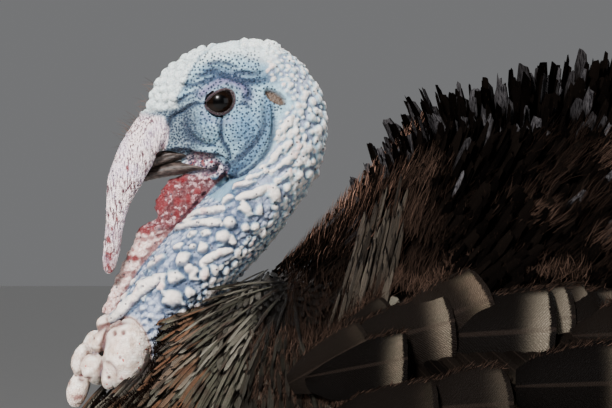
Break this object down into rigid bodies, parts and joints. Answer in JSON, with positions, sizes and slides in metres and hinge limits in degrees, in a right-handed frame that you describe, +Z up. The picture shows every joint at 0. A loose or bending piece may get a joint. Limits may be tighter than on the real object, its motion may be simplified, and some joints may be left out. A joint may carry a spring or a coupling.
{
  "type": "wild turkey model",
  "caption": "Life-size still model of a male wild turkey in strut: neck drawn back, wings lowered, tail fanned.",
  "frame": {"origin": "on the floor, under the middle of the bounding box, between the feet", "axes": "+Z up; the bird faces -X, its left side is at -Y and its tail is at +X"},
  "size_m": [0.659, 0.7696, 0.8088],
  "materials": {
    "face_skin": "matt",
    "neck_skin": "matt",
    "snood_skin": "matt",
    "dewlap_skin": "matt",
    "caruncle_skin": "satin",
    "bill": "horn",
    "eye": "wet gloss",
    "body_feather": "bronze sheen",
    "wing_covert": "bronze sheen",
    "wing_feather": "barred",
    "tail_feather": "barred",
    "tail_covert": "barred",
    "beard": "bristle",
    "leg_scale": "scaly",
    "claw": "horn"
  },
  "bodies": {
    "root": {"beard": "beard", "bill_lower": "bill", "bill_upper": "bill", "caruncle_front": "caruncle_skin", "caruncle_left": "caruncle_skin", "caruncle_ridge": "caruncle_skin", "caruncle_right": "caruncle_skin", "claw_left_hind": "claw", "claw_left_inner": "claw", "claw_left_middle": "claw", "claw_left_outer": "claw", "claw_right_hind": "claw", "claw_right_inner": "claw", "claw_right_middle": "claw", "claw_right_outer": "claw", "dewlap": "dewlap_skin", "eye_left": "eye", "eye_right": "eye", "foot_left": "leg_scale", "foot_right": "leg_scale", "head": "face_skin", "neck": "neck_skin", "shank_left": "leg_scale", "shank_right": "leg_scale", "snood": "snood_skin", "spur_left": "claw", "spur_right": "claw", "tail_coverts": "tail_covert", "tail_fan": "tail_feather", "thigh_left": "body_feather", "thigh_right": "body_feather", "trunk": "body_feather", "wing_left_arm": "wing_covert", "wing_left_primaries": "wing_feather", "wing_left_secondaries": "wing_feather", "wing_right_arm": "wing_covert", "wing_right_primaries": "wing_feather", "wing_right_secondaries": "wing_feather"}
  },
  "joints": []
}
